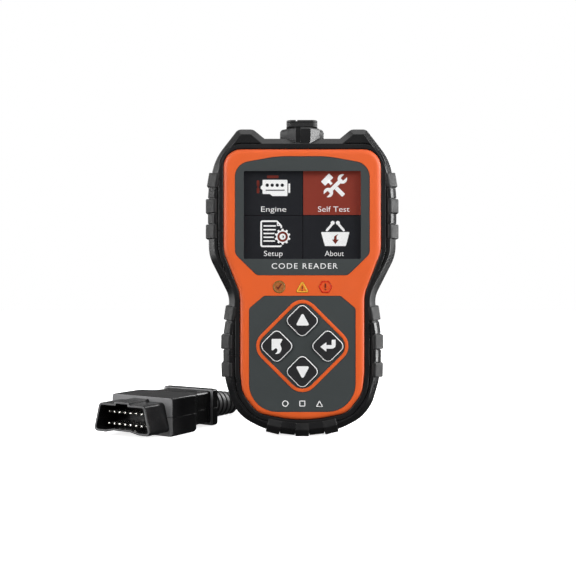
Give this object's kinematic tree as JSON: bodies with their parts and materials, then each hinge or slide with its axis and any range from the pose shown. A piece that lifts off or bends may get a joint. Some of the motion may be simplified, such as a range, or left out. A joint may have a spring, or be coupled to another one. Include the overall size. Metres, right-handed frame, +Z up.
{
  "type": "obd code reader",
  "caption": "Handheld car diagnostic code reader in a rubber boot, with a colour screen, diamond-shaped keys and a multi-pin plug on a cable.",
  "frame": {"origin": "middle of the reader's base, on the surface it stands on", "axes": "+Z up the reader's height, +Y from its face to its back, +X to the right as seen from the front"},
  "size_m": [0.1707, 0.1516, 0.1774],
  "materials": {
    "boot_rubber": "moulded matt black rubber",
    "orange_plastic": "satin orange ABS with a fine moulded grain",
    "rear_plastic": "textured black ABS",
    "screw_steel": "plated steel",
    "overlay_grey": "satin printed overlay",
    "clear_acrylic": "clear polished acrylic",
    "display_glass": "dark display glass",
    "backlight_frame": "pressed sheet",
    "ring_orange": "satin orange trim",
    "lens_ready": "tinted light lens",
    "lens_caution": "tinted light lens",
    "lens_fault": "tinted light lens",
    "led_body": "moulded light-emitting diode",
    "dome_steel": "spring steel",
    "guide_plastic": "moulded black plastic",
    "circuit_board": "green solder mask",
    "chip_black": "black chip package",
    "header_plastic": "cream nylon",
    "cable_jacket": "matt black cable jacket",
    "tie_strap": "black hook-and-loop strap",
    "relief_rubber": "matt black moulded rubber",
    "plug_plastic": "fine-grained black nylon",
    "pin_metal": "nickel-plated brass",
    "key_rubber": "satin black keycap with white print"
  },
  "bodies": {
    "root": {"rubber_boot": "boot_rubber", "front_housing": "orange_plastic", "rear_housing": "rear_plastic", "housing_screw_1": "screw_steel", "housing_screw_2": "screw_steel", "housing_screw_3": "screw_steel", "housing_screw_4": "screw_steel", "screen_overlay": "overlay_grey", "screen_lens": "clear_acrylic", "display_panel": "display_glass", "display_backlight": "backlight_frame", "keypad_overlay": "overlay_grey", "keypad_ring": "ring_orange", "status_lens_ready": "lens_ready", "status_lens_caution": "lens_caution", "status_lens_fault": "lens_fault", "status_led_ready": "led_body", "status_led_caution": "led_body", "status_led_fault": "led_body", "key_dome_up": "dome_steel", "key_dome_down": "dome_steel", "key_dome_back": "dome_steel", "key_dome_enter": "dome_steel", "key_guide": "guide_plastic", "main_board": "circuit_board", "processor_chip": "chip_black", "transceiver_chip": "chip_black", "cable_header": "header_plastic", "cable_tail": "cable_jacket", "reader_strain_relief": "relief_rubber", "cable_drop": "cable_jacket", "cable_coil": "cable_jacket", "coil_tie": "tie_strap", "cable_lead": "cable_jacket", "plug_strain_relief": "relief_rubber", "plug_cover_bottom": "plug_plastic", "plug_cover_top": "plug_plastic", "plug_shroud": "plug_plastic", "pin_carrier": "plug_plastic", "pin_01": "pin_metal", "pin_02": "pin_metal", "pin_03": "pin_metal", "pin_04": "pin_metal", "pin_05": "pin_metal", "pin_06": "pin_metal", "pin_07": "pin_metal", "pin_08": "pin_metal", "pin_09": "pin_metal", "pin_10": "pin_metal", "pin_11": "pin_metal", "pin_12": "pin_metal", "pin_13": "pin_metal", "pin_14": "pin_metal", "pin_15": "pin_metal", "pin_16": "pin_metal"},
    "key_up": {"key_up": "key_rubber"},
    "key_down": {"key_down": "key_rubber"},
    "key_back": {"key_back": "key_rubber"},
    "key_enter": {"key_enter": "key_rubber"}
  },
  "joints": [
    {"name": "press_up", "type": "slide", "parent": "root", "child": "key_up", "axis": [0, 1, 0], "range_m": [0, 0.001], "stiffness_N_per_m": 1500},
    {"name": "press_down", "type": "slide", "parent": "root", "child": "key_down", "axis": [0, 1, 0], "range_m": [0, 0.001], "stiffness_N_per_m": 1500},
    {"name": "press_back", "type": "slide", "parent": "root", "child": "key_back", "axis": [0, 1, 0], "range_m": [0, 0.001], "stiffness_N_per_m": 1500},
    {"name": "press_enter", "type": "slide", "parent": "root", "child": "key_enter", "axis": [0, 1, 0], "range_m": [0, 0.001], "stiffness_N_per_m": 1500}
  ]
}
